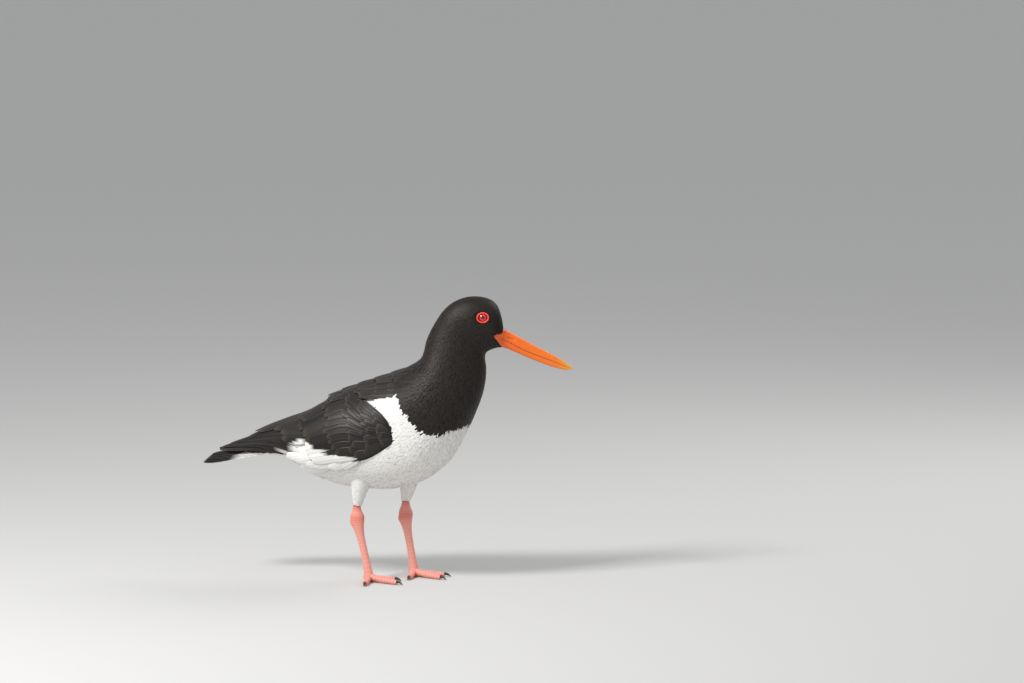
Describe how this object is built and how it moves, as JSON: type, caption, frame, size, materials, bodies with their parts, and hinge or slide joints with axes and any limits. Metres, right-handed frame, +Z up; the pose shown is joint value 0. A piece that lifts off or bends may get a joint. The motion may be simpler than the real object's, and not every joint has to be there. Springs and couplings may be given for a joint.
{
  "type": "shorebird",
  "caption": "Life-size oystercatcher standing at rest: black hood, back and folded wings, white belly, long straight orange bill, pink legs on flat-soled toes.",
  "frame": {"origin": "on the floor under the middle of the bounding box", "axes": "+X towards the bird's front, +Y towards its left side, +Z up"},
  "size_m": [0.3594, 0.109, 0.2765],
  "materials": {
    "bill_horn": "satin horn, orange, paler at the tip",
    "eye_ring_skin": "bare orange-red skin",
    "eye": "wet, red iris round a black pupil",
    "claw_horn": "matte dark horn",
    "leg_skin": "scaled salmon-pink skin",
    "thigh_plumage": "short soft white feathers",
    "wing_feathers": "overlapping vanes, brown-black with a white panel",
    "tail_feathers": "white vanes with a black end band",
    "hood_plumage": "dense short black feathers",
    "belly_plumage": "soft white feathers, black mantle"
  },
  "bodies": {
    "root": {"eye_left": "eye", "eye_ring_left": "eye_ring_skin", "eye_right": "eye", "eye_ring_right": "eye_ring_skin", "bill_upper": "bill_horn", "bill_lower": "bill_horn", "wing_left": "wing_feathers", "wing_right": "wing_feathers", "tail": "tail_feathers", "thigh_right": "thigh_plumage", "shank_right": "leg_skin", "foot_right": "leg_skin", "claw_inner_right": "claw_horn", "claw_middle_right": "claw_horn", "claw_outer_right": "claw_horn", "thigh_left": "thigh_plumage", "shank_left": "leg_skin", "foot_left": "leg_skin", "claw_inner_left": "claw_horn", "claw_middle_left": "claw_horn", "claw_outer_left": "claw_horn", "torso": "belly_plumage", "neck": "hood_plumage", "head": "hood_plumage"}
  },
  "joints": []
}
